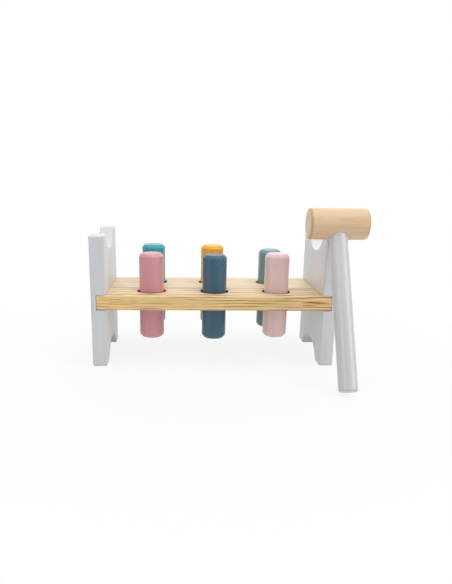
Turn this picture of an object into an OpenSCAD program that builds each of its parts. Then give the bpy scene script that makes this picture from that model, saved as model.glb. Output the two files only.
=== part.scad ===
// Peg pounding bench: two notched end panels, a board of two glued strips with six
// gripped pegs, and a mallet that leans on the right end panel.
// Millimetres. X runs along the board, +Y is the rear, Z is up and the floor is Z = 0.

/* [Board] */
// Distance from an end hole's centre to the end panel
end_margin = 44.1; // [36:0.1:60]
// Distance from a row of holes to the board's long edge
row_margin = 25.1; // [20:0.1:32]
// Thickness of the board
board_t = 15; // [12:0.5:20]
// Distance of the glue seam in front of the board's middle
seam_front = 11; // [0:0.5:14]
// Rounding of the board's long edges
board_round = 1.8; // [0.5:0.1:3]

/* [End panels] */
// Thickness of each end panel
panel_t = 14.4; // [12:0.2:20]
// Height of each end panel
panel_h = 132; // [120:1:160]
// Depth of the housing that takes the board's end
house_depth = 9.1; // [5:0.1:11]
// Depth of the curved notch in the top edge
notch_top = 17.5; // [8:0.5:24]
// Depth of the curved notch in the bottom edge
notch_low = 18.3; // [8:0.5:24]
// Radius of the curve of both notches
notch_r = 37; // [30:0.5:40]
// Corner radius of the panel's outline
panel_corner = 2.4; // [2:0.1:8]
// Rounding of the panel's edges
panel_round = 1.6; // [0.5:0.1:2]

/* [Holes and grip rings] */
// Gap between a peg and the wall of its hole
hole_gap = 2.1; // [1.6:0.1:3]
// Distance between neighbouring holes along the board
hole_pitch = 64.3; // [50:0.1:76]
// Distance between the front and the rear row of holes
row_gap = 48.8; // [46:0.1:54]
// Chamfer at each hole's rims
hole_ease = 0.8; // [0.2:0.1:1.2]
// Height of a grip ring
ring_h = 3.6; // [2.4:0.1:5]
// Depth of a grip ring's groove in the wall of the hole
ring_bite = 1.2; // [0.8:0.1:1.8]
// Rounding of a grip ring's edges
ring_round = 0.6; // [0.2:0.1:1]

/* [Pegs] */
// Diameter of the pegs
peg_d = 24.8; // [20:0.1:28]
// Length of the pegs
peg_len = 86.7; // [75:0.1:100]
// Chamfer at both ends of the pegs
peg_chamfer = 2.3; // [1:0.1:5]
// Height of the front left peg's top above the board
rise_front_left = 38.8; // [30:0.1:45]
// Height of the front middle peg's top above the board
rise_front_mid = 37.7; // [30:0.1:45]
// Height of the front right peg's top above the board
rise_front_right = 39.5; // [30:0.1:45]
// Height of the rear left peg's top above the board
rise_rear_left = 41.3; // [30:0.1:45]
// Height of the rear middle peg's top above the board
rise_rear_mid = 41; // [30:0.1:45]
// Height of the rear right peg's top above the board
rise_rear_right = 36.7; // [30:0.1:45]

/* [Dowels] */
// Diameter of the dowels
dowel_d = 8; // [5:0.5:10]
// Length of each dowel inside the board
dowel_in = 25; // [12:1:34]
// Distance of each dowel from the board's middle
dowel_y = 27; // [18:0.5:36]
// Chamfer at the dowels' inner ends
dowel_chamfer = 0.8; // [0.2:0.1:1.5]

/* [Mallet] */
// Diameter of the mallet's head
head_d = 30; // [24:0.2:40]
// Length of the mallet's head
head_len = 57.3; // [45:0.1:75]
// Rounding of the head's ends
head_round = 2.4; // [0.5:0.1:5]
// Diameter of the mallet's handle
handle_d = 17.6; // [14:0.2:22]
// Length of the handle from its foot to the head's centre
handle_reach = 161.2; // [150:0.2:180]
// Rounding of the handle's foot
handle_round = 2; // [0.5:0.1:4]
// Depth of the handle's end above the centre of the head
handle_in = 5; // [0:0.5:8]
// Lean of the mallet from the vertical
mallet_lean = 27.6; // [20:0.1:35]
// Distance of the mallet to the right of the right panel's middle
mallet_side = 0.6; // [-5:0.1:5]

/* [Fits] */
// Glue line between pieces of one body
glue_gap = 0.05; // [0.02:0.01:0.1]
// Radial running clearance between a peg and its grip ring
run_gap = 0.06; // [0.02:0.01:0.1]
// Clearance between the leaning mallet and the panel
lean_gap = 0.3; // [0.3:0.05:0.8]

/* [Hidden] */
$fn = 96;
paint = [0.80, 0.80, 0.80];
pine = [0.88, 0.76, 0.58];
beech = [0.85, 0.72, 0.55];
black = [0.05, 0.05, 0.05];
rose = [0.76, 0.52, 0.55];
slate = [0.26, 0.38, 0.44];
blush = [0.82, 0.70, 0.68];
turquoise = [0.26, 0.58, 0.60];
mustard = [0.92, 0.66, 0.26];
teal_grey = [0.48, 0.57, 0.60];
over = 1;
board_z = panel_h / 2;
board_top = board_z + board_t / 2;
bench_depth = row_gap + 2 * row_margin;
inner_x = hole_pitch + end_margin;
panel_x = inner_x + panel_t / 2;
outer_x = inner_x + panel_t;
board_len = 2 * (inner_x + house_depth);
mallet_x = panel_x + mallet_side;
peg_r = peg_d / 2;
hole_r = peg_r + hole_gap;
ring_in = peg_r + run_gap;
ring_out = hole_r + ring_bite;
groove_r = ring_out + glue_gap;
groove_h = ring_h + 2 * glue_gap;
head_r = head_d / 2;
handle_r = handle_d / 2;
// The mallet's foot stands on the floor. Its head meets the panel's front below the rounded top
// corner, or its head or handle meets that corner, or its handle alone where the head is above.
foot_z = (handle_r - handle_round) * sin(mallet_lean) + handle_round * (1 - cos(mallet_lean));
head_z = foot_z + handle_reach * cos(mallet_lean);
corner_y = panel_corner - bench_depth / 2;
corner_z = panel_h - panel_corner;
head_hold = head_r + panel_corner + lean_gap;
handle_hold = handle_r + panel_corner + lean_gap;
head_rise = max(0, head_z - corner_z);
head_stop = corner_y - sqrt(max(0, head_hold * head_hold - head_rise * head_rise));
handle_stop = corner_y - (handle_hold + (corner_z - head_z) * sin(mallet_lean)) / cos(mallet_lean);
above_y = head_rise < head_hold ? min(head_stop, handle_stop) : handle_stop;
head_y = head_z > corner_z ? above_y : head_stop;
foot_y = head_y - handle_reach * sin(mallet_lean);

// Centred rectangle with rounded corners
module soft_rect(w, h, r) {
  square([w - 2 * r, h], center = true);
  square([w, h - 2 * r], center = true);
  for (sx = [-1, 1])
    for (sy = [-1, 1])
      translate([sx * (w / 2 - r), sy * (h / 2 - r)])
        circle(r);
}

// Rounded blank of one end panel, centred on the origin
module panel_blank() {
  intersection() {
    rotate([90, 0, 90])
      linear_extrude(panel_t, center = true)
        soft_rect(bench_depth, panel_h, panel_corner);
    rotate([90, 0, 0])
      linear_extrude(bench_depth + 2 * over, center = true)
        soft_rect(panel_t, panel_h, panel_round);
    linear_extrude(panel_h + 2 * over, center = true)
      soft_rect(panel_t, bench_depth, panel_round);
  }
}

// Half profile of a notch cutter: a disc whose rim flares at both faces of the panel
module notch_profile() {
  difference() {
    translate([0, -panel_t / 2 - over])
      square([notch_r + panel_round, panel_t + 2 * over]);
    translate([notch_r, panel_round - panel_t / 2])
      square([2 * panel_round, panel_t - 2 * panel_round]);
    for (s = [-1, 1])
      translate([notch_r + panel_round, s * (panel_t / 2 - panel_round)])
        circle(panel_round);
  }
}

// Notch cutter, centred on the origin with its axis along X
module notch_cutter() {
  rotate([0, 90, 0])
    rotate_extrude()
      notch_profile();
}

// End panel for side -1 (left) or 1 (right)
module end_panel(side) {
  difference() {
    translate([side * panel_x, 0, board_z])
      panel_blank();
    translate([side * panel_x, 0, panel_h - notch_top + notch_r])
      notch_cutter();
    translate([side * panel_x, 0, notch_low - notch_r])
      notch_cutter();
    translate([side * (inner_x - over / 2 + house_depth / 2 + glue_gap / 2), 0, board_z])
      cube([house_depth + over + glue_gap, bench_depth + 2 * over, board_t + 2 * glue_gap], center = true);
    for (sy = [-1, 1])
      translate([side * panel_x, sy * dowel_y, board_z])
        rotate([0, 90, 0])
          cylinder(r = dowel_d / 2 + glue_gap, h = panel_t + 2 * over, center = true);
  }
}

// One peg hole with its eased rims and its ring groove, centred on the board's middle
module hole_cutter() {
  cylinder(r = hole_r, h = board_t + 2 * over, center = true);
  cylinder(r = groove_r, h = groove_h, center = true);
  for (s = [0, 180])
    rotate([s, 0, 0])
      translate([0, 0, board_t / 2 - hole_ease])
        cylinder(r1 = hole_r, r2 = hole_r + hole_ease + over, h = hole_ease + over);
}

// Strip of the board between two depths, with every hole cut
module strip(y0, y1) {
  difference() {
    translate([0, 0, board_z])
      rotate([90, 0, 90])
        linear_extrude(board_len, center = true)
          intersection() {
            soft_rect(bench_depth, board_t, board_round);
            translate([y0, -board_t])
              square([y1 - y0, 2 * board_t]);
          }
    for (ix = [-1, 0, 1])
      for (iy = [-1, 1])
        translate([ix * hole_pitch, iy * row_gap / 2, board_z])
          hole_cutter();
    for (sx = [-1, 1])
      for (sy = [-1, 1])
        translate([sx * (board_len / 2 - dowel_in / 2), sy * dowel_y, board_z])
          rotate([0, 90, 0])
            cylinder(r = dowel_d / 2 + glue_gap, h = dowel_in + over, center = true);
  }
}

// Peg in column ix (-1, 0, 1) and row iy (-1 front, 1 rear) with its top above the board
module peg(ix, iy, rise) {
  translate([ix * hole_pitch, iy * row_gap / 2, board_top + rise - peg_len])
    rotate_extrude()
      polygon([
        [0, 0],
        [peg_r - peg_chamfer, 0],
        [peg_r, peg_chamfer],
        [peg_r, peg_len - peg_chamfer],
        [peg_r - peg_chamfer, peg_len],
        [0, peg_len]
      ]);
}

// Grip ring in column ix and row iy
module ring(ix, iy) {
  translate([ix * hole_pitch, iy * row_gap / 2, board_z])
    rotate_extrude()
      translate([(ring_in + ring_out) / 2, 0])
        soft_rect(ring_out - ring_in, ring_h, ring_round);
}

// Dowel at side sx and depth sy, flush with the panel's outer face
module dowel(sx, sy) {
  reach = outer_x - board_len / 2 + dowel_in;
  translate([sx * (outer_x - reach), sy * dowel_y, board_z])
    rotate([0, sx * 90, 0])
      rotate_extrude()
        polygon([
          [0, 0],
          [dowel_d / 2 - dowel_chamfer, 0],
          [dowel_d / 2, dowel_chamfer],
          [dowel_d / 2, reach],
          [0, reach]
        ]);
}

// Places the mallet, whose handle runs up Z from its foot and whose head lies along X
module mallet_pose() {
  translate([mallet_x, foot_y, foot_z])
    rotate([-mallet_lean, 0, 0])
      children();
}

// Half profile of a round bar from z = 0 to z = len with a rounded foot
module bar_profile(r, len, soft) {
  translate([0, soft])
    square([r, len - soft]);
  square([r - soft, len]);
  translate([r - soft, soft])
    circle(soft);
}

module end_panel_left() {
  color(paint)
    end_panel(-1);
}

module end_panel_right() {
  color(paint)
    end_panel(1);
}

module board_strip_front() {
  color(pine)
    strip(-bench_depth, -seam_front - glue_gap / 2);
}

module board_strip_rear() {
  color(pine)
    strip(-seam_front + glue_gap / 2, bench_depth);
}

module peg_front_left() {
  color(rose)
    peg(-1, -1, rise_front_left);
}

module peg_front_mid() {
  color(slate)
    peg(0, -1, rise_front_mid);
}

module peg_front_right() {
  color(blush)
    peg(1, -1, rise_front_right);
}

module peg_rear_left() {
  color(turquoise)
    peg(-1, 1, rise_rear_left);
}

module peg_rear_mid() {
  color(mustard)
    peg(0, 1, rise_rear_mid);
}

module peg_rear_right() {
  color(teal_grey)
    peg(1, 1, rise_rear_right);
}

module ring_front_left() {
  color(black)
    ring(-1, -1);
}

module ring_front_mid() {
  color(black)
    ring(0, -1);
}

module ring_front_right() {
  color(black)
    ring(1, -1);
}

module ring_rear_left() {
  color(black)
    ring(-1, 1);
}

module ring_rear_mid() {
  color(black)
    ring(0, 1);
}

module ring_rear_right() {
  color(black)
    ring(1, 1);
}

module dowel_left_front() {
  color(beech)
    dowel(-1, -1);
}

module dowel_left_rear() {
  color(beech)
    dowel(-1, 1);
}

module dowel_right_front() {
  color(beech)
    dowel(1, -1);
}

module dowel_right_rear() {
  color(beech)
    dowel(1, 1);
}

module mallet_head() {
  color(beech)
    mallet_pose()
      difference() {
        translate([0, 0, handle_reach])
          rotate([0, 90, 0])
            rotate_extrude()
              intersection() {
                soft_rect(head_d, head_len, head_round);
                translate([0, -head_len])
                  square([head_d, 2 * head_len]);
              }
        translate([0, 0, handle_reach - head_d])
          cylinder(r = handle_r + glue_gap, h = head_d + handle_in + glue_gap);
      }
}

module mallet_handle() {
  color(paint)
    mallet_pose()
      rotate_extrude()
        intersection() {
          bar_profile(handle_r, handle_reach + handle_in, handle_round);
          square([handle_d, 2 * handle_reach]);
        }
}

end_panel_left();
end_panel_right();
board_strip_front();
board_strip_rear();
peg_front_left();
peg_front_mid();
peg_front_right();
peg_rear_left();
peg_rear_mid();
peg_rear_right();
ring_front_left();
ring_front_mid();
ring_front_right();
ring_rear_left();
ring_rear_mid();
ring_rear_right();
dowel_left_front();
dowel_left_rear();
dowel_right_front();
dowel_right_rear();
mallet_head();
mallet_handle();
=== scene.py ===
import math
from collections import namedtuple

import bmesh
import bpy
from bpy.props import FloatProperty, FloatVectorProperty, IntProperty, PointerProperty
from mathutils import Matrix, Vector


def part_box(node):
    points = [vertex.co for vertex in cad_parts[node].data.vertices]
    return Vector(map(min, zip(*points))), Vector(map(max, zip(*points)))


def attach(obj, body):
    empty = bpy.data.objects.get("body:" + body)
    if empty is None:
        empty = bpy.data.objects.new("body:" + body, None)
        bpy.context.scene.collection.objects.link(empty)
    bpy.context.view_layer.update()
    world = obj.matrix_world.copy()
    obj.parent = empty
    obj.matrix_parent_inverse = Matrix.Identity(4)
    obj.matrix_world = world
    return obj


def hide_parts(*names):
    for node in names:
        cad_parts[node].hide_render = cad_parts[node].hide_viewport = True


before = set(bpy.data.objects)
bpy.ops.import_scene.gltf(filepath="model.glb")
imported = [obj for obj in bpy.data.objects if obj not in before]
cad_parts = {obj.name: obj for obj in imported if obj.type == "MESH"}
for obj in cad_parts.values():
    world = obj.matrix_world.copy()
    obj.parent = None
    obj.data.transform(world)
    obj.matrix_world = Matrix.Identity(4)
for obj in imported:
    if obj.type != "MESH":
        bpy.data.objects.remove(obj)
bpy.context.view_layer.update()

bl_info = {
    "name": "Peg Pounding Bench",
    "version": (1, 0, 0),
    "blender": (4, 5, 0),
    "location": "View3D > Sidebar > Pounding Bench",
    "description": "Builds a painted peg pounding bench and its mallet around their packed solids",
    "category": "Add Mesh",
}

# Each peg's node, with the colour it is painted and the record's slot for that paint
PEG_PAINTS = {
    "peg_front_left": ("rose", "rose paint"),
    "peg_front_mid": ("slate_blue", "slate blue paint"),
    "peg_front_right": ("pale_pink", "pale pink paint"),
    "peg_rear_left": ("turquoise", "turquoise paint"),
    "peg_rear_mid": ("mustard", "mustard paint"),
    "peg_rear_right": ("grey_blue", "grey blue paint"),
}
RINGS = [name.replace("peg", "ring") for name in PEG_PAINTS]
DOWELS = ["dowel_left_front", "dowel_left_rear", "dowel_right_front", "dowel_right_rear"]

# Gaps and reaches of the cuts, in metres
BORE_GAP = 0.0001  # round a dowel or the handle in its hole
BORE_END = 0.0002  # past each end of a dowel in its hole
BORE_START = 0.03  # below the head's middle, where the cut for the handle starts
OVERCUT = 0.002  # past the face that a cut opens
FLARE = 4  # widening of a housing's cut outside the face, in times its ease
RUNNING_GAP = 0.00006  # between a peg and its grip ring
GROOVE_REACH = 0.002  # past a hole's wall, which takes in the ring's groove

# Depths from an end within which a face belongs to it, in metres
PAINTED_END = 0.001  # of a dowel, painted with the panel
FLAT_END = 0.00005  # of the mallet's head, flat
ROUND_END = 0.0022  # of the mallet's head, rounded
TOUCH = 0.00001  # for a point on a hole's rim

# Fineness of the meshes, and a quarter turn
QUARTER = math.pi / 2
SHARP_ANGLE = math.radians(32)  # edges sharper than this stay crisp
CORNER_STEPS, TIP_STEPS, NOTCH_STEPS = 10, 8, 48  # round a panel's outline
EDGE_STEPS = 6  # across a rounded edge
EDGE_SHARE = 0.9  # of a corner's radius, the most that the rounding of an edge takes
FILLET_STEPS, RING_STEPS = 5, 4  # round the softened edges of a turned bar and of a grip ring
HOLE_FACETS, DOWEL_FACETS = 96, 48
MERGE = 1e-7  # distance under which points are one
SWEEP_RADIUS = 1e-6  # of the circle round which a turned bar's profile is swept
SWEEP_MERGE = 1e-5  # distance under which a sweep's points are one

# Camera, fitted to the photograph's edges, with the picture's size and the place of its axis in pixels
PICTURE_WIDE, PICTURE_HIGH = 452, 584
AXIS_X, AXIS_Y = 216.4, 315.0
FOCAL_PIXELS = 551.2
SENSOR = 36
CAMERA_PLACE = (-0.03396, -0.58168, 0.19353)
CAMERA_TURN = (3.77, 14.64, -1.135)  # yaw, pitch and roll in degrees

# White studio. The floor fades to plain white over FLOOR_FADE metres. Reflections find the studio dimmer on
# the camera's side: the dimming is full at the first share of the way round and starts at the second.
WHITE = (1, 1, 1, 1)
FLOOR_FADE = (0.10, 0.36)
FLOOR_NEAR = 0.85  # share of plain white beside the object
DIM_AHEAD, DIM_ROUND = 0.58, 0.12  # taken off on the camera's side and elsewhere
FLOOR_AHEAD = (0.68, 0.50)
WORLD_AHEAD = (0.80, 0.60)
NEAR_SOFTNESS = 0.15  # blends the sides near the middle
LAMP_AIM = Vector((0.01, 0.0, 0.07))

# Rectangular lamps: place, size, and whether reflections show them
Lamp = namedtuple("Lamp", "place wide high mirrored")
LAMPS = {
    "overhead": Lamp((0.10, -0.15, 1.25), 1.3, 1.1, False),
    "left": Lamp((-0.85, -0.85, 0.60), 0.26, 1.1, True),
    "right": Lamp((1.06, -0.56, 0.60), 0.55, 1.1, True),
    "rear": Lamp((0.0, 1.3, 0.6), 1.8, 1.0, False),
}

# Coats of paint: roughness, the width of their streaks and how far these stand up
Coat = namedtuple("Coat", "rough streak ripple")
PANEL_COAT = Coat(rough=0.30, streak=0.016, ripple=0.000002)
PEG_COAT = Coat(rough=0.26, streak=0.010, ripple=0.000012)
HANDLE_COAT = Coat(rough=0.16, streak=0.004, ripple=0.00022)

# Growth rings of woods whose length runs along X: the pith line's place across it, the spacing of the rings,
# how far they waver, and how much the late wood shows where it is weakest and strongest
Grain = namedtuple("Grain", "pith ring waver weak strong")
FRONT_GRAIN = Grain(pith=(-0.092, -0.124), ring=0.0030, waver=0.0044, weak=0.12, strong=1.0)
REAR_GRAIN = Grain(pith=(0.020, -0.030), ring=0.0014, waver=0.0024, weak=0.05, strong=0.36)
DOWEL_GRAIN = Grain(pith=(0.05, 0.03), ring=0.0012, waver=0.002, weak=0.1, strong=0.4)
# Here the pith is counted from the middle of the mallet's head
MALLET_GRAIN = Grain(pith=(0.035, -0.012), ring=0.0017, waver=0.004, weak=0.10, strong=0.36)
MALLET_END_RING = 0.0016

# Patterns of the finishes, in features per metre along X, Y and Z
PAINT_GRAIN = (1500, 1500, 45)
PAINT_PEEL = (700, 700, 700)
STREAK_RUN = 6  # along Z only
RING_WANDER = (20, 30, 90)
RING_PATCHES = (15, 60, 150)
WOOD_STROKES = (24, 260, 560)
WOOD_FIBRES = (55, 1300, 1300)
WOOD_TONE = (9, 60, 60)
DRILL_MARKS = (120, 120, 2600)
DRILL_BLOTCHES = (260, 260, 90)
END_STRAY = (150, 150, 150)
END_PORES = (2200, 2200, 2200)
RUBBER_BLOOM = (400, 400, 400)
NOISE_RANGE = (0.3, 0.7)  # values of a noise between which most of it lies

# Relief of the patterns, in metres
FIBRE_RELIEF, RING_RELIEF, PORE_RELIEF = 0.00004, 0.00003, 0.00003
DRILL_RELIEF, BLOOM_RELIEF = 0.00005, 0.00002
FINE_SHARE = 0.05  # of a coat's ripple, for its grain and orange peel

# Board: darker wood by the seam (glue line and painted shade of its groove), a front edge of its own colour,
# and lines plainer towards the right
SEAM_BAND, SEAM_GLUE_AND_SHADE = (0.0008, 0.0032), 0.42
FRONT_BAND = (0.0003, 0.0012)
BOARD_ENDS, LINE_CHANGE = (-0.12, 0.12), (0.70, 1.25)


# Sizes and colours

def screen(red, green, blue):
    """Linear colour of an 8-bit screen colour."""
    shares = [value / 255 for value in (red, green, blue)]
    return tuple(s / 12.92 if s <= 0.04045 else ((s + 0.055) / 1.055) ** 2.4 for s in shares)


def length(name, description, default):
    """Property for a length in metres."""
    return FloatProperty(name=name, description=description, default=default, min=0, unit="LENGTH",
                         precision=5)


def power(name, default):
    """Property for a lamp's power in watts."""
    return FloatProperty(name=name, description=f"Power of the {name.lower()}", default=default, min=0,
                         unit="POWER")


def colour(name, description, *default):
    """Property for a colour, with its default as 8-bit screen values."""
    return FloatVectorProperty(name=name, description=description, default=screen(*default), min=0, max=1,
                               size=3, subtype="COLOR")


class PanelSizes(bpy.types.PropertyGroup):
    """Shape of the two end panels"""
    corner: length("Corner radius", "Radius of the outline's four corners", 0.0024)
    edge: length("Edge rounding", "Rounding of the edges between the faces and the outline", 0.0016)
    tip: length("Tip rounding", "Rounding of the outline where a notch meets the panel's end", 0.0020)
    notch_radius: length("Notch radius", "Radius of both curved notches", 0.037)
    notch_top: length("Top notch depth", "Depth of the notch in the top edge", 0.0175)
    notch_low: length("Bottom notch depth", "Depth of the notch in the bottom edge", 0.0183)
    slot_gap: length("Housing gap", "Glue gap around the board's end in its housing", 0.00015)
    slot_ease: length("Housing ease", "Ease of the housing's mouth", 0.00035)


class BoardSizes(bpy.types.PropertyGroup):
    """Shape of the board's two strips"""
    edge: length("Edge rounding", "Rounding of the board's long edges", 0.0018)
    end: length("End rounding", "Rounding of the edges round the board's ends", 0.0012)
    seam: length("Seam ease", "Ease of each strip's edge at the glue seam", 0.0003)
    hole_radius: length("Hole radius", "Radius of the peg holes", 0.0145)
    hole_ease: length("Hole ease", "Rounding of the holes' rims", 0.0006)
    groove_gap: length("Groove gap", "Gap around a grip ring in its groove", 0.00005)


class TurnedSizes(bpy.types.PropertyGroup):
    """Shape of the turned pieces: pegs, dowels and mallet"""
    peg_wide: length("Peg chamfer width", "Width of the pegs' end chamfers across the end", 0.0024)
    peg_tall: length("Peg chamfer height", "Height of the pegs' end chamfers along the peg", 0.0028)
    peg_soft: length("Peg softness", "Rounding of both edges of the pegs' chamfers", 0.0010)
    dowel_ease: length("Dowel ease", "Ease of the dowels' ends", 0.0003)
    head_ease: length("Head chamfer", "Chamfer under the rounding of the mallet head's ends", 0.0015)
    head_soft: length("Head softness", "Rounding of the mallet head's end edges", 0.0030)
    handle_radius: length("Handle radius", "Radius of the mallet's handle", 0.0088)
    handle_reach: length("Handle reach", "Length from the handle's foot to the head's middle", 0.1612)
    handle_in: length("Handle in head", "Length of the handle above the head's middle", 0.005)
    handle_ease: length("Foot chamfer", "Chamfer under the rounding of the handle's foot", 0.0012)
    handle_soft: length("Foot softness", "Rounding of the handle's foot", 0.0022)
    ring_soft: length("Ring rounding", "Rounding of the grip rings' edges", 0.0006)
    lean: FloatProperty(name="Mallet lean", description="Lean of the mallet from the vertical",
                        default=math.radians(27.6), unit="ROTATION")
    facets: IntProperty(name="Facets", description="Facets round each turned piece", default=96, min=12)


class FinishColours(bpy.types.PropertyGroup):
    """Colours of the paints, woods and rubber"""
    panel: colour("Panel paint", "Light grey paint of the end panels", 223, 224, 228)
    handle: colour("Handle paint", "Light grey paint of the mallet's handle", 212, 212, 213)
    rose: colour("Rose", "Paint of the front left peg", 222, 158, 166)
    slate_blue: colour("Slate blue", "Paint of the front middle peg", 67, 106, 129)
    pale_pink: colour("Pale pink", "Paint of the front right peg", 245, 213, 210)
    turquoise: colour("Turquoise", "Paint of the rear left peg", 60, 172, 180)
    mustard: colour("Mustard", "Paint of the rear middle peg", 252, 185, 66)
    grey_blue: colour("Grey blue", "Paint of the rear right peg", 120, 159, 169)
    pine_front: colour("Front pine", "Early wood of the front strip", 235, 214, 174)
    pine_edge: colour("Front edge pine", "Early wood of the board's front edge", 253, 219, 155)
    pine_rear: colour("Rear pine", "Early wood of the rear strip", 229, 213, 182)
    pine_line: colour("Pine lines", "Late wood of the pine's growth rings", 162, 98, 38)
    bored: colour("Hole walls", "Wood of the drilled walls of the peg holes", 112, 66, 34)
    mallet_wood: colour("Mallet wood", "Early wood of the mallet's head", 233, 205, 168)
    mallet_line: colour("Mallet lines", "Late wood of the mallet's head", 198, 148, 94)
    mallet_end: colour("Mallet end grain", "End grain of the mallet's head", 238, 219, 201)
    # Darker rim: end grain of the rounding soaking up more finish, with painted shade of the rounded edge
    mallet_rim: colour("Mallet rim", "Rounded end edges of the mallet's head", 222, 182, 140)
    dowel: colour("Dowel wood", "Wood of the dowels", 217, 184, 140)
    rubber: colour("Ring rubber", "Black rubber of the grip rings", 26, 24, 23)


class StageSettings(bpy.types.PropertyGroup):
    """Floor and light"""
    floor_size: length("Floor size", "Width of the floor", 6.0)
    floor: colour("Floor", "Pale floor", 228, 228, 228)
    fill: FloatProperty(name="Fill", description="Strength of the light from all round", default=0.17, min=0)
    overhead: power("Overhead lamp", 11.7)
    left: power("Left lamp", 2.8)
    right: power("Right lamp", 4.9)
    rear: power("Rear lamp", 16.0)


class BenchSettings(bpy.types.PropertyGroup):
    """All sizes and colours of the pounding bench"""
    panel: PointerProperty(type=PanelSizes)
    board: PointerProperty(type=BoardSizes)
    turned: PointerProperty(type=TurnedSizes)
    colours: PointerProperty(type=FinishColours)
    stage: PointerProperty(type=StageSettings)


# Node trees

class Tree:
    """Empties a node tree, adds nodes to it, sets their sockets and links them."""

    def __init__(self, tree):
        self.tree = tree
        tree.nodes.clear()

    def add(self, kind, inputs=None, **settings):
        """Adds a node with its settings and inputs."""
        node = self.tree.nodes.new(kind)
        for name, value in settings.items():
            setattr(node, name, value)
        self.put(node, inputs or {})
        return node

    def put(self, node, inputs):
        """Sets a node's inputs, named or numbered, and links those that are given a socket."""
        for key, value in inputs.items():
            if isinstance(value, bpy.types.NodeSocket):
                self.tree.links.new(value, node.inputs[key])
            else:
                node.inputs[key].default_value = value

    def out(self, kind, inputs=None, **settings):
        """First output of an added node."""
        return self.add(kind, inputs, **settings).outputs[0]

    def calc(self, operation, *values):
        """Result of a Math node."""
        return self.out("ShaderNodeMath", dict(enumerate(values)), operation=operation)

    def vector(self, operation, a, b):
        """Result of a Vector Math node."""
        return self.add("ShaderNodeVectorMath", {0: a, 1: b}, operation=operation).outputs["Vector"]

    def length_of(self, vector):
        """Length of a vector."""
        return self.add("ShaderNodeVectorMath", {0: vector}, operation="LENGTH").outputs["Value"]

    def span(self, value, low, high, to_low=0.0, to_high=1.0):
        """Smooth change of a value from one range to another."""
        return self.out("ShaderNodeMapRange", {0: value, 1: low, 2: high, 3: to_low, 4: to_high},
                        interpolation_type="SMOOTHSTEP")


class Finish(Tree):
    """Procedural material on the piece's own Object coordinates."""

    def __init__(self, name):
        self.material = bpy.data.materials.new(name)
        self.material.use_nodes = True
        super().__init__(self.material.node_tree)
        self.shader = self.add("ShaderNodeBsdfPrincipled")
        self.add("ShaderNodeOutputMaterial", {"Surface": self.shader.outputs[0]})
        self.place = self.add("ShaderNodeTexCoord").outputs["Object"]

    def turned(self, location, rotation):
        """Object coordinates moved and turned to a piece's own axes."""
        moved = self.vector("SUBTRACT", self.place, location)
        return self.out("ShaderNodeMapping", {"Vector": moved, "Rotation": rotation})

    def noise(self, place, stretch, detail=2.0, rough=0.5, part="Fac"):
        """Noise with stretch features per metre along each axis."""
        scaled = self.vector("MULTIPLY", place, stretch)
        return self.add("ShaderNodeTexNoise", {"Vector": scaled, "Scale": 1.0, "Detail": detail,
                                               "Roughness": rough}).outputs[part]

    def spread(self, noise, to_low=0.0, to_high=1.0):
        """Smooth change from one value to another over a noise's usual range."""
        return self.span(noise, *NOISE_RANGE, to_low, to_high)

    def from_pith(self, place, pith):
        """Distance from a pith line that runs along X."""
        away = self.vector("SUBTRACT", place, (0, *pith))
        return self.length_of(self.vector("MULTIPLY", away, (0, 1, 1)))

    def mix(self, share, a, b):
        """Mix of two colours."""
        return self.add("ShaderNodeMix", {0: share, 6: a, 7: b}, data_type="RGBA").outputs[2]

    def bump(self, height, distance, normal=None):
        """Bumped normal."""
        inputs = {"Height": height, "Strength": 1.0, "Distance": distance}
        if normal is not None:
            inputs["Normal"] = normal
        return self.out("ShaderNodeBump", inputs)

    def feed(self, **sockets):
        """Sets or links the shader's sockets, and gives the material."""
        self.put(self.shader, {name.replace("_", " "): value for name, value in sockets.items()})
        return self.material


def opaque(rgb, factor=1.0):
    """Colour with alpha, darkened or lightened by a factor."""
    return tuple(min(1.0, value * factor) for value in rgb) + (1.0,)


# Finishes

def paint_finish(name, rgb, coat, location=(0, 0, 0), rotation=(0, 0, 0)):
    """Sprayed paint on wood: soft streaks and faint grain along Z, and fine orange peel."""
    finish = Finish(name)
    place = finish.turned(location, rotation)
    grain = finish.noise(place, PAINT_GRAIN, detail=3.0)
    wide = finish.noise(place, (1 / coat.streak, 1 / coat.streak, STREAK_RUN))
    peel = finish.noise(place, PAINT_PEEL, detail=1.0)
    base = finish.mix(finish.spread(wide), opaque(rgb, 0.975), opaque(rgb, 1.02))
    faint = finish.span(grain, 0.58, 0.76, 0.0, 0.06)
    fine = coat.ripple * FINE_SHARE
    return finish.feed(
        Base_Color=finish.mix(faint, base, opaque(rgb, 0.80)),
        Roughness=finish.spread(wide, coat.rough - 0.02, coat.rough + 0.03),
        IOR=1.5,
        Normal=finish.bump(wide, coat.ripple, finish.bump(grain, fine, finish.bump(peel, fine))),
    )


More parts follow.
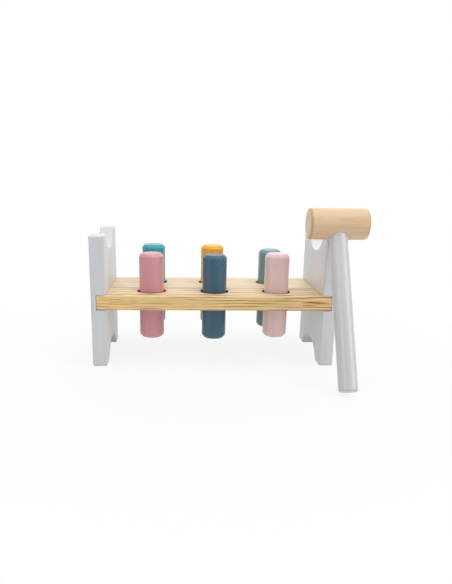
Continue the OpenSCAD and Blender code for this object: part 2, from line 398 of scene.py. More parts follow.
def wood_finish(name, early, late, grain, seam=None, front=None):
    """Sawn wood: growth rings that waver along its length, short strokes of late wood and fine fibres.

    seam is the depth of a board's glue seam, beside which the wood is darker: its glue line, with painted
    shade of the seam's groove. front is the depth of its front face and the wood's colour there.
    """
    finish = Finish(name)
    place = finish.place
    wander = finish.noise(place, RING_WANDER, detail=3.0, part="Color")
    wander = finish.vector("SUBTRACT", wander, (0.5, 0.5, 0.5))
    wander = finish.vector("MULTIPLY", wander, (0, grain.waver, grain.waver))
    radius = finish.from_pith(finish.vector("ADD", place, wander), grain.pith)
    phase = finish.calc("FRACT", finish.calc("MULTIPLY", radius, 1 / grain.ring))
    line = finish.calc("MULTIPLY", finish.span(phase, 0.50, 0.88), finish.span(phase, 0.90, 1.0, 1.0, 0.0))
    patches = finish.noise(place, RING_PATCHES)
    line = finish.calc("MULTIPLY", line, finish.span(patches, 0.38, 0.64, grain.weak, grain.strong))
    strokes = finish.noise(place, WOOD_STROKES)
    late_wood_and_seam_shade = finish.calc("MAXIMUM", line, finish.span(strokes, 0.57, 0.72, 0.0, 0.85 * grain.strong))
    fibre = finish.noise(place, WOOD_FIBRES, detail=3.0, rough=0.6)
    tone = finish.spread(finish.noise(place, WOOD_TONE))
    body = finish.mix(tone, opaque(early, 1.03), opaque(early, 0.95))
    parts = finish.add("ShaderNodeSeparateXYZ", {0: place}).outputs
    if seam is not None:
        # Towards the seam the wood darkens: the glue line, with painted shade of the seam's groove
        away = finish.calc("ABSOLUTE", finish.calc("SUBTRACT", parts["Y"], seam))
        late_wood_and_seam_shade = finish.calc("MAXIMUM", late_wood_and_seam_shade, finish.span(away, *SEAM_BAND, SEAM_GLUE_AND_SHADE, 0.0))
    if front:
        face, pine = front
        near, far = (face + depth for depth in FRONT_BAND)
        edge = finish.mix(tone, opaque(pine, 1.03), opaque(pine, 0.94))
        body = finish.mix(finish.span(parts["Y"], near, far, 1.0, 0.0), body, edge)
        plainer = finish.span(parts["X"], *BOARD_ENDS, *LINE_CHANGE)
        late_wood_and_seam_shade = finish.calc("MULTIPLY", late_wood_and_seam_shade, plainer)
    grained_and_seam_shaded = finish.mix(late_wood_and_seam_shade, body, opaque(late))
    fleck = finish.span(fibre, 0.35, 0.75, 0.0, 0.16)
    return finish.feed(
        Base_Color=finish.mix(fleck, grained_and_seam_shaded, opaque(late, 1.5)),
        Roughness=finish.spread(fibre, 0.40, 0.50),
        IOR=1.5,
        Normal=finish.bump(fibre, FIBRE_RELIEF, finish.bump(line, RING_RELIEF)),
    )


def bored_finish(name, rgb):
    """Drilled wood: dark, in blotches, with the drill's fine turning marks up the hole."""
    finish = Finish(name)
    marks = finish.noise(finish.place, DRILL_MARKS)
    blotches = finish.noise(finish.place, DRILL_BLOTCHES, detail=3.0)
    dark = finish.mix(finish.spread(blotches), opaque(rgb, 0.7), opaque(rgb, 1.25))
    return finish.feed(
        Base_Color=finish.mix(finish.span(marks, 0.45, 0.75, 0.0, 0.5), dark, opaque(rgb, 0.5)),
        Roughness=0.7,
        Normal=finish.bump(marks, DRILL_RELIEF),
    )


def end_grain_finish(name, rgb, late, pith, ring):
    """Sawn end of wood that runs along X: faint growth rings round the pith and fine pores."""
    finish = Finish(name)
    radius = finish.from_pith(finish.place, pith)
    stray = finish.noise(finish.place, END_STRAY)
    phase = finish.calc("FRACT", finish.calc("ADD", finish.calc("MULTIPLY", radius, 1 / ring), stray))
    rise = finish.span(phase, 0.45, 0.9, 0.0, 0.4)
    line = finish.calc("MULTIPLY", rise, finish.span(phase, 0.9, 1.0, 1.0, 0.0))
    pores = finish.noise(finish.place, END_PORES)
    ringed = finish.mix(line, opaque(rgb), opaque(late))
    return finish.feed(
        Base_Color=finish.mix(finish.span(pores, 0.55, 0.8, 0.0, 0.3), ringed, opaque(late, 0.8)),
        Roughness=0.55,
        Normal=finish.bump(pores, PORE_RELIEF),
    )


def rubber_finish(name, rgb):
    """Matt black rubber with a dusty bloom."""
    finish = Finish(name)
    bloom = finish.noise(finish.place, RUBBER_BLOOM, detail=3.0)
    return finish.feed(
        Base_Color=finish.mix(finish.span(bloom, 0.35, 0.75), opaque(rgb), opaque(rgb, 2.2)),
        Roughness=finish.spread(bloom, 0.55, 0.72),
        Normal=finish.bump(bloom, BLOOM_RELIEF),
    )


# Meshes

def new_piece(name, mesh, *materials):
    """Object at the origin that holds a finished mesh."""
    piece = bpy.data.objects.new(name, mesh)
    bpy.context.scene.collection.objects.link(piece)
    for material in materials:
        mesh.materials.append(material)
    return piece


def plain_mesh(piece):
    """Turns the piece's modifiers into plain mesh."""
    bpy.context.view_layer.update()
    shown = piece.evaluated_get(bpy.context.evaluated_depsgraph_get())
    mesh = bpy.data.meshes.new_from_object(shown)
    mesh.name = piece.name
    piece.modifiers.clear()
    old, piece.data = piece.data, mesh
    bpy.data.meshes.remove(old)
    return mesh


def cut(piece, bm):
    """Takes the closed solids of a bmesh out of a piece."""
    cutter = finished(bm, "cutter")
    tool = new_piece("cutter", cutter)
    boolean = piece.modifiers.new("cut", "BOOLEAN")
    boolean.operation = "DIFFERENCE"
    boolean.solver = "EXACT"
    boolean.object = tool
    before = len(piece.data.polygons)
    plain_mesh(piece)
    bpy.data.objects.remove(tool)
    bpy.data.meshes.remove(cutter)
    if len(piece.data.polygons) <= before:
        raise RuntimeError(f"{piece.name}: the cut left no trace")


def soften(piece):
    """Smooth shading that keeps flats flat and real corners crisp."""
    for face in piece.data.polygons:
        face.use_smooth = True
    piece.data.set_sharp_from_angle(angle=SHARP_ANGLE)
    weighted = piece.modifiers.new("weighted", "WEIGHTED_NORMAL")
    weighted.keep_sharp = True
    plain_mesh(piece)


def arc(centre, radius, start, stop, steps, hollow=False):
    """Points of an arc with the outward normals of the wood beside it; a hollow arc curves into the wood."""
    sign = -1 if hollow else 1
    found = []
    for i in range(steps + 1):
        angle = start + (stop - start) * i / steps
        ray = Vector((math.cos(angle), math.sin(angle)))
        found.append((Vector(centre) + radius * ray, sign * ray, math.inf if hollow else radius))
    return found


def panel_outline(depth, height, sizes):
    """Outline of an end panel across Y and Z, counter-clockwise from its lower right corner."""
    half, corner, tip, notch = depth / 2, sizes.corner, sizes.tip, sizes.notch_radius
    top = height - sizes.notch_top + notch
    low = sizes.notch_low - notch
    tip_top = math.sqrt((notch + tip) ** 2 - (top - height + tip) ** 2)
    tip_low = math.sqrt((notch + tip) ** 2 - (tip - low) ** 2)
    lift = math.atan2(top - height + tip, tip_top)
    drop = math.atan2(tip - low, tip_low)
    right, left = half - corner, corner - half
    return (
        arc((right, corner), corner, -QUARTER, 0, CORNER_STEPS)
        + arc((right, height - corner), corner, 0, QUARTER, CORNER_STEPS)
        + arc((tip_top, height - tip), tip, QUARTER, math.pi - lift, TIP_STEPS)
        + arc((0, top), notch, -lift, lift - math.pi, NOTCH_STEPS, hollow=True)
        + arc((-tip_top, height - tip), tip, lift, QUARTER, TIP_STEPS)
        + arc((left, height - corner), corner, QUARTER, 2 * QUARTER, CORNER_STEPS)
        + arc((left, corner), corner, 2 * QUARTER, 3 * QUARTER, CORNER_STEPS)
        + arc((-tip_low, tip), tip, -QUARTER, -drop, TIP_STEPS)
        + arc((0, low), notch, math.pi - drop, drop, NOTCH_STEPS, hollow=True)
        + arc((tip_low, tip), tip, math.pi + drop, 3 * QUARTER, TIP_STEPS)
    )


def box_outline(low, high, radii):
    """Outline of a box across Y and Z with its own rounding at each corner, from the lower right one."""
    found = []
    for i, (y, z) in enumerate(((high[0], low[1]), high, (low[0], high[1]), low)):
        r = radii[i]
        centre = (y - r if i in (0, 1) else y + r, z + r if i in (0, 3) else z - r)
        found += arc(centre, r, (i - 1) * QUARTER, i * QUARTER, EDGE_STEPS)
    return found


def quarter_round(radius):
    """Steps round an edge from one face to the other: how far each lies in from both faces."""
    turns = [QUARTER * i / EDGE_STEPS for i in range(EDGE_STEPS + 1)]
    return [(radius * (1 - math.sin(turn)), radius * (1 - math.cos(turn))) for turn in turns]


def skin(bm, rings):
    """Closes a solid over rings of points, with a face on each end."""
    for a, b in zip(rings[:-1], rings[1:]):
        for i in range(len(a)):
            j = (i + 1) % len(a)
            bm.faces.new((a[i], a[j], b[j], b[i]))
    bm.faces.new(rings[0])
    bm.faces.new(rings[-1])


def slab_mesh(name, outline, x_low, x_high, edge):
    """Slab with the outline across Y and Z, from x_low to x_high, whose edges are rounded."""
    bm = bmesh.new()
    stations = quarter_round(edge)
    courses = [(inset, x_low + sink) for inset, sink in stations]
    courses += [(inset, x_high - sink) for inset, sink in reversed(stations)]
    rings = []
    for inset, x in courses:
        ring = []
        for point, normal, radius in outline:
            share = min(1.0, EDGE_SHARE * radius / edge)
            y, z = point - normal * inset * share
            ring.append(bm.verts.new((x, y, z)))
        rings.append(ring)
    skin(bm, rings)
    return finished(bm, name)


def finished(bm, name):
    """Mesh of a closed bmesh, with doubles merged and its faces outwards."""
    bmesh.ops.remove_doubles(bm, verts=bm.verts, dist=MERGE)
    bmesh.ops.recalc_face_normals(bm, faces=bm.faces)
    mesh = bpy.data.meshes.new(name)
    bm.to_mesh(mesh)
    bm.free()
    return mesh


def add_turning(bm, profile, place, facets):
    """Adds a closed turned solid to a bmesh: profile gives radius and height, and place is its matrix."""
    rings = []
    for radius, height in profile:
        angles = [2 * math.pi * i / facets for i in range(facets)]
        rings.append([bm.verts.new(place @ Vector((radius * math.cos(a), radius * math.sin(a), height)))
                      for a in angles])
    skin(bm, rings)


def along_x(centre):
    """Matrix that lays a turned solid's axis along X at a centre."""
    return Matrix.Translation(centre) @ Matrix.Rotation(QUARTER, 4, "Y")


# Geometry Nodes

class Maker(Tree):
    """Geometry Nodes tree that ends in Realize Instances and Set Material.

    Its inputs are the lengths that are named, the number of facets and the material.
    """

    def __init__(self, name, *lengths):
        super().__init__(bpy.data.node_groups.new(name, "GeometryNodeTree"))
        kinds = dict.fromkeys(lengths, "NodeSocketFloat")
        kinds.update({"Facets": "NodeSocketInt", "Material": "NodeSocketMaterial"})
        for key, kind in kinds.items():
            self.tree.interface.new_socket(key, in_out="INPUT", socket_type=kind)
        self.tree.interface.new_socket("Geometry", in_out="OUTPUT", socket_type="NodeSocketGeometry")
        self.given = self.add("NodeGroupInput").outputs

    def point(self, x, y, z):
        """Vector from three values or sockets."""
        return self.out("ShaderNodeCombineXYZ", {0: x, 1: y, 2: z})

    def finish(self, geometry):
        """Ends the tree."""
        whole = self.out("GeometryNodeRealizeInstances", {"Geometry": geometry})
        smooth = self.out("GeometryNodeSetShadeSmooth", {"Geometry": whole})
        dressed = {"Geometry": smooth, "Material": self.given["Material"]}
        self.add("NodeGroupOutput", {0: self.out("GeometryNodeSetMaterial", dressed)})
        return self.tree

    def turning(self, radius, tall, wide, high, soft):
        """Turned bar up Z from the origin, with chamfered and softened ends."""
        inner = self.calc("SUBTRACT", radius, wide)
        low, top = self.calc("MULTIPLY", high, -1.0), self.calc("MULTIPLY", tall, -1.0)
        upper = self.calc("SUBTRACT", high, tall)
        corners = [self.point(0.0, 0.0, 0.0), self.point(inner, 0.0, 0.0), self.point(radius, low, 0.0),
                   self.point(radius, upper, 0.0), self.point(inner, top, 0.0), self.point(0.0, top, 0.0)]
        line = self.out("GeometryNodeMeshLine", {"Count": len(corners)})
        which = self.add("GeometryNodeIndexSwitch", data_type="VECTOR")
        for _ in corners[2:]:
            which.index_switch_items.new()
        self.put(which, {"Index": self.out("GeometryNodeInputIndex")})
        self.put(which, {str(i): corner for i, corner in enumerate(corners)})
        curve = self.out("GeometryNodeMeshToCurve", {"Mesh": line})
        bent = self.out("GeometryNodeSetPosition", {"Geometry": curve, "Position": which.outputs[0]})
        return self.swept(self.softened(bent, soft, FILLET_STEPS), SWEEP_RADIUS)

    def softened(self, curve, radius, steps):
        """Curve with its corners rounded."""
        return self.out("GeometryNodeFilletCurve", {"Curve": curve, "Count": steps, "Radius": radius,
                                                    "Limit Radius": True}, mode="POLY")

    def swept(self, profile, radius):
        """Profile swept round a circle, with its seam and poles closed."""
        rail = self.out("GeometryNodeCurvePrimitiveCircle", {"Resolution": self.given["Facets"],
                                                             "Radius": radius})
        sweep = self.out("GeometryNodeCurveToMesh", {"Curve": rail, "Profile Curve": profile})
        return self.out("GeometryNodeMergeByDistance", {"Geometry": sweep, "Distance": SWEEP_MERGE})

    def on_grid(self, geometry, wide, deep, columns, rows):
        """Copies of a shape on a grid of points."""
        grid = self.out("GeometryNodeMeshGrid", {"Size X": wide, "Size Y": deep, "Vertices X": columns,
                                                 "Vertices Y": rows})
        return self.out("GeometryNodeInstanceOnPoints", {"Points": grid, "Instance": geometry})


def turning_tree():
    """Tree for one turned bar: a peg, the mallet's head or its handle."""
    lengths = ("Radius", "Length", "Chamfer width", "Chamfer height", "Softness")
    tree = Maker("Turned bar", *lengths)
    return tree.finish(tree.turning(*(tree.given[name] for name in lengths)))


def dowel_tree():
    """Tree for the dowels: one turned pin laid along X on a grid of two by two places."""
    tree = Maker("Dowel pins", "Radius", "Length", "Ease", "Between sides", "Between rows")
    given = tree.given
    pin = tree.turning(given["Radius"], given["Length"], given["Ease"], given["Ease"], given["Ease"])
    middle = tree.calc("MULTIPLY", given["Length"], -0.5)
    laid = tree.out("GeometryNodeTransform", {"Geometry": pin, "Rotation": (0, QUARTER, 0),
                                              "Translation": tree.point(middle, 0.0, 0.0)})
    return tree.finish(tree.on_grid(laid, given["Between sides"], given["Between rows"], columns=2, rows=2))


def ring_tree():
    """Tree for the grip rings: one rounded section swept round, on a grid of three by two holes."""
    tree = Maker("Grip rings", "Inner radius", "Outer radius", "Height", "Softness", "Between ends",
                 "Between rows")
    given = tree.given
    wide = tree.calc("SUBTRACT", given["Outer radius"], given["Inner radius"])
    middle = tree.calc("MULTIPLY", tree.calc("ADD", given["Outer radius"], given["Inner radius"]), 0.5)
    section = tree.out("GeometryNodeCurvePrimitiveQuadrilateral", {"Width": wide, "Height": given["Height"]})
    ring = tree.swept(tree.softened(section, given["Softness"], RING_STEPS), middle)
    return tree.finish(tree.on_grid(ring, given["Between ends"], given["Between rows"], columns=3, rows=2))


def made_by(tree, name, material, place, **values):
    """Piece made by a Geometry Nodes tree, turned into one plain mesh and put in its place."""
    piece = new_piece(name, bpy.data.meshes.new(name))
    modifier = piece.modifiers.new("maker", "NODES")
    modifier.node_group = tree
    values = {key.replace("_", " ").capitalize(): value for key, value in values.items()}
    values["Material"] = material
    for item in tree.interface.items_tree:
        if item.in_out == "INPUT":
            modifier[item.identifier] = values.pop(item.name)
    if values:
        raise RuntimeError(f"{name}: the tree has no input for {sorted(values)}")
    mesh = plain_mesh(piece)
    mesh.materials.clear()
    mesh.materials.append(material)
    bm = bmesh.new()
    bm.from_mesh(mesh)
    bmesh.ops.recalc_face_normals(bm, faces=bm.faces)
    if not bm.faces or any(not edge.is_manifold for edge in bm.edges):
        raise RuntimeError(f"{name}: the tree's mesh isn't closed")
    bm.transform(place)
    bm.to_mesh(mesh)
    bm.free()
    return piece


# Operators

def settings():
    """The scene's sizes and colours."""
    return bpy.context.scene.pounding_bench


def middle_of(node):
    """Middle of a CAD node's box."""
    low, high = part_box(node)
    return (low + high) / 2


def settle(piece, body, slot, *nodes):
    """Softens a finished piece and puts it on its body in place of its CAD nodes."""
    soften(piece)
    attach(piece, body)
    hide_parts(*nodes)


def add_bores(bm, where):
    """Adds cutters for the dowels of one side or one row to a bmesh."""
    for name in DOWELS:
        if where in name:
            low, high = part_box(name)
            radius, half = (high.z - low.z) / 2 + BORE_GAP, (high.x - low.x) / 2 + BORE_END
            add_turning(bm, [(radius, -half), (radius, half)], along_x(middle_of(name)), DOWEL_FACETS)


class BENCH_OT_end_panels(bpy.types.Operator):
    """Builds the two painted end panels with their notches and housings"""
    bl_idname = "bench.end_panels"
    bl_label = "End Panels"

    def execute(self, context):
        sizes = settings().panel
        board_low, board_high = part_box("board_strip_front")
        paint = paint_finish("panel_paint", settings().colours.panel, PANEL_COAT)
        for side, name in ((-1, "end_panel_left"), (1, "end_panel_right")):
            low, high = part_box(name)
            outline = panel_outline(high.y - low.y, high.z - low.z, sizes)
            mesh = slab_mesh(name + "_painted", outline, low.x, high.x, sizes.edge)
            piece = new_piece(name + "_painted", mesh, paint)
            bm = bmesh.new()
            self.add_housing(bm, side, low, high, board_low, board_high, sizes)
            cut(piece, bm)
            bm = bmesh.new()
            add_bores(bm, "left" if side < 0 else "right")
            cut(piece, bm)
            settle(piece, "bench", "panel paint", name)
        return {"FINISHED"}

    def add_housing(self, bm, side, low, high, board_low, board_high, sizes):
        """Adds the cutter of the board's housing, a prism along Y whose mouths are eased."""
        floor = side * (board_high.x + sizes.slot_gap)
        face = side * min(abs(low.x), abs(high.x))
        gap, ease = sizes.slot_gap, sizes.slot_ease
        ends = [(low.y - OVERCUT, ease), (low.y + ease, 0), (high.y - ease, 0), (high.y + OVERCUT, ease)]
        mouth, outside, flare = face + side * ease, face - side * OVERCUT, FLARE * ease
        rings = []
        for y, more in ends:
            z0, z1 = board_low.z - gap - more, board_high.z + gap + more
            x0 = floor + side * more
            section = [(x0, z0), (x0, z1), (mouth, z1), (outside, z1 + flare), (outside, z0 - flare),
                       (mouth, z0)]
            rings.append([bm.verts.new((x, y, z)) for x, z in section])
        skin(bm, rings)


class BENCH_OT_board(bpy.types.Operator):
    """Builds the board's two pine strips with their peg holes"""
    bl_idname = "bench.board"
    bl_label = "Board"

    def execute(self, context):
        sizes, colours = settings().board, settings().colours
        face, seam = (corner.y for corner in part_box("board_strip_front"))
        front = wood_finish("pine_front", colours.pine_front, colours.pine_line, FRONT_GRAIN, seam,
                            (face, colours.pine_edge))
        rear = wood_finish("pine_rear", colours.pine_rear, colours.pine_line, REAR_GRAIN, seam)
        bored = bored_finish("pine_bored", colours.bored)
        edge, inner = sizes.edge, sizes.seam
        holes = [middle_of(peg).xy for peg in PEG_PAINTS]
        for row, material in (("front", front), ("rear", rear)):
            name = "board_strip_" + row
            low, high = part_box(name)
            radii = (inner, inner, edge, edge) if row == "front" else (edge, edge, inner, inner)
            outline = box_outline((low.y, low.z), (high.y, high.z), radii)
            mesh = slab_mesh(name + "_pine", outline, low.x, high.x, sizes.end)
            piece = new_piece(name + "_pine", mesh, material, bored)
            bm = bmesh.new()
            for peg, spot in zip(PEG_PAINTS, holes):
                if low.y < spot.y + sizes.hole_radius and spot.y - sizes.hole_radius < high.y:
                    self.add_hole(bm, peg, low.z, high.z, sizes)
            add_bores(bm, row)
            cut(piece, bm)
            self.darken_holes(piece.data, holes, low.z, high.z, sizes)
            settle(piece, "bench", "pine", name)
        return {"FINISHED"}

    def darken_holes(self, mesh, holes, low, high, sizes):
        """Gives the walls of the holes the second material."""
        reach, ease = sizes.hole_radius + GROOVE_REACH, sizes.hole_ease - TOUCH
        inside = [low + ease < v.co.z < high - ease and min((v.co.xy - spot).length for spot in holes) < reach
                  for v in mesh.vertices]
        for face in mesh.polygons:
            face.material_index = 1 if all(inside[i] for i in face.vertices) else 0

    def add_hole(self, bm, peg, low, high, sizes):
        """Adds the cutter of one hole, with rounded rims and the groove of its grip ring."""
        ring_low, ring_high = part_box(peg.replace("peg", "ring"))
        radius, ease = sizes.hole_radius, sizes.hole_ease
        groove = (ring_high.x - ring_low.x) / 2 + sizes.groove_gap
        rim = [(radius + sink, inset) for inset, sink in quarter_round(ease)]
        half, shelf = (high - low) / 2, (ring_high.z - ring_low.z) / 2 + sizes.groove_gap
        upper = [(radius, shelf)] + [(r, half - sink) for r, sink in rim] + [(rim[-1][0], half + OVERCUT)]
        profile = [(r, -z) for r, z in reversed(upper)] + [(groove, -shelf), (groove, shelf)] + upper
        spot = middle_of(peg)
        add_turning(bm, profile, Matrix.Translation((spot.x, spot.y, (low + high) / 2)), HOLE_FACETS)


class BENCH_OT_pegs(bpy.types.Operator):
    """Turns and paints the six pegs"""
    bl_idname = "bench.pegs"
    bl_label = "Pegs"

    def execute(self, context):
        sizes, colours = settings().turned, settings().colours
        tree = turning_tree()
        for name, (paint, slot) in PEG_PAINTS.items():
            low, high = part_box(name)
            middle = middle_of(name)
            material = paint_finish(paint + "_paint", getattr(colours, paint), PEG_COAT, middle)
            piece = made_by(tree, name + "_painted", material,
                            Matrix.Translation((middle.x, middle.y, low.z)),
                            radius=(high.x - low.x) / 2, length=high.z - low.z, chamfer_width=sizes.peg_wide,
                            chamfer_height=sizes.peg_tall, softness=sizes.peg_soft, facets=sizes.facets)
            settle(piece, name, slot, name)
        return {"FINISHED"}


class BENCH_OT_grip_rings(bpy.types.Operator):
    """Lays a rubber grip ring in the groove of each peg hole"""
    bl_idname = "bench.grip_rings"
    bl_label = "Grip Rings"

    def execute(self, context):
        low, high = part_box("ring_front_left")
        first, last = middle_of("ring_front_left"), middle_of("ring_rear_right")
        peg_low, peg_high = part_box("peg_front_left")
        material = rubber_finish("ring_rubber", settings().colours.rubber)
        piece = made_by(ring_tree(), "grip_rings", material, Matrix.Translation((first + last) / 2),
                        inner_radius=(peg_high.x - peg_low.x) / 2 + RUNNING_GAP,
                        outer_radius=(high.x - low.x) / 2, height=high.z - low.z,
                        softness=settings().turned.ring_soft,
                        facets=settings().turned.facets, between_ends=last.x - first.x,
                        between_rows=last.y - first.y)
        settle(piece, "bench", "ring rubber", *RINGS)
        return {"FINISHED"}


class BENCH_OT_dowels(bpy.types.Operator):
    """Turns the four dowels that pin the panels to the board"""
    bl_idname = "bench.dowels"
    bl_label = "Dowels"

    def execute(self, context):
        sizes, colours = settings().turned, settings().colours
        low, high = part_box("dowel_left_front")
        first, last = middle_of("dowel_left_front"), middle_of("dowel_right_rear")
        wood = wood_finish("dowel_wood", colours.dowel, colours.mallet_line, DOWEL_GRAIN)
        paint = paint_finish("dowel_end_paint", colours.panel, PANEL_COAT)
        piece = made_by(dowel_tree(), "dowel_pins", wood, Matrix.Translation((first + last) / 2),
                        radius=(high.z - low.z) / 2, length=high.x - low.x, ease=sizes.dowel_ease,
                        facets=DOWEL_FACETS, between_sides=last.x - first.x,
                        between_rows=last.y - first.y)
        piece.data.materials.append(paint)
        outer = abs(low.x) - PAINTED_END
        for face in piece.data.polygons:
            if abs(face.center.x) > outer:
                face.material_index = 1
        settle(piece, "bench", "dowel", *DOWELS)
        return {"FINISHED"}


class BENCH_OT_mallet(bpy.types.Operator):
    """Turns the mallet's wooden head and painted handle"""
    bl_idname = "bench.mallet"
    bl_label = "Mallet"

    def execute(self, context):
        sizes, colours = settings().turned, settings().colours
        tree = turning_tree()
        low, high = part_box("mallet_head")
        middle = middle_of("mallet_head")
        turn = Matrix.Rotation(-sizes.lean, 4, "X")
        reach = sizes.handle_reach
        foot = Matrix.Translation(middle) @ turn @ Matrix.Translation((0, 0, -reach))
        pith = (middle.y + MALLET_GRAIN.pith[0], middle.z + MALLET_GRAIN.pith[1])
        late = colours.mallet_line
        wood = wood_finish("mallet_wood", colours.mallet_wood, late, MALLET_GRAIN._replace(pith=pith))
        end = end_grain_finish("mallet_end_grain", colours.mallet_end, late, pith, MALLET_END_RING)
        # The rims are darker: end grain soaking up more finish, with painted shade of the rounded edges
        rim = end_grain_finish("mallet_rim", colours.mallet_rim, late, pith, MALLET_END_RING)
        half = (high.x - low.x) / 2
        head = made_by(tree, "mallet_head_turned", wood, along_x(middle) @ Matrix.Translation((0, 0, -half)),
                       radius=(high.z - low.z) / 2, length=2 * half, chamfer_width=sizes.head_ease,
                       chamfer_height=sizes.head_ease, softness=sizes.head_soft, facets=sizes.facets)
        head.data.materials.append(end)
        head.data.materials.append(rim)
        # Flat ends take the end grain, and the rounded rims the darker rim colour with its painted shade
        for face in head.data.polygons:
            inset = half - abs(face.center.x - middle.x)
            face.material_index = 1 if inset < FLAT_END else 2 if inset < ROUND_END else 0
        bm = bmesh.new()
        bore, bore_top = sizes.handle_radius + BORE_GAP, reach + sizes.handle_in + BORE_GAP
        add_turning(bm, [(bore, reach - BORE_START), (bore, bore_top)], foot, HOLE_FACETS)
        cut(head, bm)
        settle(head, "mallet", "mallet wood", "mallet_head")
        lean = (sizes.lean, 0, 0)
        paint = paint_finish("handle_paint", colours.handle, HANDLE_COAT, foot.translation, lean)
        handle = made_by(tree, "mallet_handle_painted", paint, foot, radius=sizes.handle_radius,
                         length=reach + sizes.handle_in, chamfer_width=sizes.handle_ease,
                         chamfer_height=sizes.handle_ease, softness=sizes.handle_soft, facets=sizes.facets)
        settle(handle, "mallet", "handle paint", "mallet_handle")
        return {"FINISHED"}


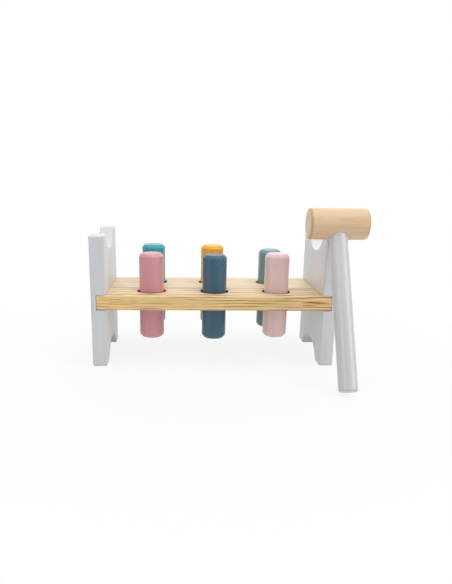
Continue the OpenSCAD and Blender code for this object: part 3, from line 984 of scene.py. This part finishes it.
class BENCH_OT_stage(bpy.types.Operator):
    """Sets the floor, the lamps and the camera"""
    bl_idname = "bench.stage"
    bl_label = "Stage"

    def execute(self, context):
        scene, sizes = context.scene, settings().stage
        scene.view_settings.view_transform = "Standard"
        self.add_floor(sizes)
        self.set_world(scene, sizes)
        for name, lamp in LAMPS.items():
            self.add_lamp(name + "_lamp", lamp, getattr(sizes, name))
        self.add_camera(scene)
        return {"FINISHED"}

    def add_floor(self, sizes):
        """Pale floor that keeps the object's shadow near it and fades to plain white away from it."""
        bm = bmesh.new()
        bmesh.ops.create_grid(bm, x_segments=1, y_segments=1, size=sizes.floor_size / 2)
        mesh = bpy.data.meshes.new("floor")
        bm.to_mesh(mesh)
        bm.free()
        material = bpy.data.materials.new("floor_white")
        material.use_nodes = True
        tree = Tree(material.node_tree)
        plain = tree.out("ShaderNodeBsdfDiffuse", {"Color": opaque(sizes.floor)})
        place = tree.add("ShaderNodeTexCoord").outputs["Object"]
        fade = tree.span(tree.length_of(place), *FLOOR_FADE, FLOOR_NEAR, 1.0)
        seen, strength = self.surroundings(tree, place, *FLOOR_AHEAD)
        glow = tree.out("ShaderNodeEmission", {"Color": WHITE, "Strength": strength})
        share = tree.calc("MULTIPLY", seen, fade)
        mixed = tree.out("ShaderNodeMixShader", {0: share, 1: plain, 2: glow})
        tree.add("ShaderNodeOutputMaterial", {"Surface": mixed})
        new_piece("floor", mesh, material)

    def surroundings(self, tree, place, full, start):
        """Share of the rays that see the white studio, and the strength at which they see it.

        Reflections find it dimmer on the camera's side, from start of the way round to full.
        """
        ray = tree.add("ShaderNodeLightPath").outputs
        seen = tree.calc("MAXIMUM", tree.calc("MAXIMUM", ray["Is Camera Ray"], ray["Is Glossy Ray"]),
                        ray["Is Transmission Ray"])
        level = tree.vector("MULTIPLY", place, (1, 1, 0))
        parts = tree.add("ShaderNodeSeparateXYZ", {0: level}).outputs
        ahead = tree.calc("DIVIDE", parts["Y"], tree.calc("ADD", tree.length_of(level), NEAR_SOFTNESS))
        dimmed = tree.span(ahead, -full, -start, DIM_AHEAD, DIM_ROUND)
        return seen, tree.calc("SUBTRACT", 1.0, tree.calc("MULTIPLY", ray["Is Glossy Ray"], dimmed))

    def set_world(self, scene, sizes):
        """White surroundings to the eye and in reflections, with softer light on the object."""
        world = bpy.data.worlds.new("studio")
        world.use_nodes = True
        scene.world = world
        tree = Tree(world.node_tree)
        light = tree.out("ShaderNodeBackground", {"Color": WHITE, "Strength": sizes.fill})
        place = tree.add("ShaderNodeTexCoord").outputs["Generated"]
        seen, strength = self.surroundings(tree, place, *WORLD_AHEAD)
        white = tree.out("ShaderNodeBackground", {"Color": WHITE, "Strength": strength})
        mixed = tree.out("ShaderNodeMixShader", {0: seen, 1: light, 2: white})
        tree.add("ShaderNodeOutputWorld", {"Surface": mixed})

    def add_lamp(self, name, shape, watts):
        """Soft rectangular lamp that the camera doesn't see, and reflections only where it is mirrored."""
        spot = Vector(shape.place)
        data = bpy.data.lights.new(name, "AREA")
        data.shape = "RECTANGLE"
        data.size, data.size_y = shape.wide, shape.high
        data.energy = watts
        lamp = bpy.data.objects.new(name, data)
        lamp.visible_camera = False
        lamp.visible_glossy = shape.mirrored
        lamp.location = spot
        lamp.rotation_euler = (LAMP_AIM - spot).to_track_quat("-Z", "Y").to_euler()
        bpy.context.scene.collection.objects.link(lamp)

    def add_camera(self, scene):
        """Camera at the photograph's angle, for a picture of the photograph's size."""
        yaw, pitch, roll = (math.radians(angle) for angle in CAMERA_TURN)
        ahead = Vector((math.sin(yaw) * math.cos(pitch), math.cos(yaw) * math.cos(pitch), -math.sin(pitch)))
        level = Vector((math.cos(yaw), -math.sin(yaw), 0))
        down = ahead.cross(level)
        across = math.cos(roll) * level + math.sin(roll) * down
        down = math.cos(roll) * down - math.sin(roll) * level
        data = bpy.data.cameras.new("camera")
        data.sensor_width = SENSOR
        data.lens = FOCAL_PIXELS * SENSOR / PICTURE_HIGH
        data.shift_x = (PICTURE_WIDE / 2 - AXIS_X) / PICTURE_HIGH
        data.shift_y = (AXIS_Y - PICTURE_HIGH / 2) / PICTURE_HIGH
        camera = bpy.data.objects.new("camera", data)
        turn = Matrix((across, -down, -ahead)).transposed().to_4x4()
        camera.matrix_world = Matrix.Translation(CAMERA_PLACE) @ turn
        scene.collection.objects.link(camera)
        scene.camera = camera


class BENCH_PT_sidebar(bpy.types.Panel):
    """Lists the steps that build the pounding bench"""
    bl_idname = "BENCH_PT_sidebar"
    bl_label = "Pounding Bench"
    bl_space_type = "VIEW_3D"
    bl_region_type = "UI"
    bl_category = "Pounding Bench"

    def draw(self, context):
        for step in STEPS:
            self.layout.operator(step.bl_idname)
        bench = context.scene.pounding_bench
        for group in bench.__annotations__:
            box = self.layout.box()
            chosen = getattr(bench, group)
            for name in chosen.__annotations__:
                box.prop(chosen, name)


STEPS = (BENCH_OT_end_panels, BENCH_OT_board, BENCH_OT_pegs, BENCH_OT_grip_rings, BENCH_OT_dowels,
         BENCH_OT_mallet, BENCH_OT_stage)
CLASSES = (PanelSizes, BoardSizes, TurnedSizes, FinishColours, StageSettings, BenchSettings, *STEPS,
           BENCH_PT_sidebar)


def register():
    for cls in CLASSES:
        bpy.utils.register_class(cls)
    bpy.types.Scene.pounding_bench = PointerProperty(type=BenchSettings)


def unregister():
    del bpy.types.Scene.pounding_bench
    for cls in reversed(CLASSES):
        bpy.utils.unregister_class(cls)


def main():
    register()
    bpy.ops.bench.end_panels()
    bpy.ops.bench.board()
    bpy.ops.bench.pegs()
    bpy.ops.bench.grip_rings()
    bpy.ops.bench.dowels()
    bpy.ops.bench.mallet()
    bpy.ops.bench.stage()


if __name__ == "__main__":
    main()
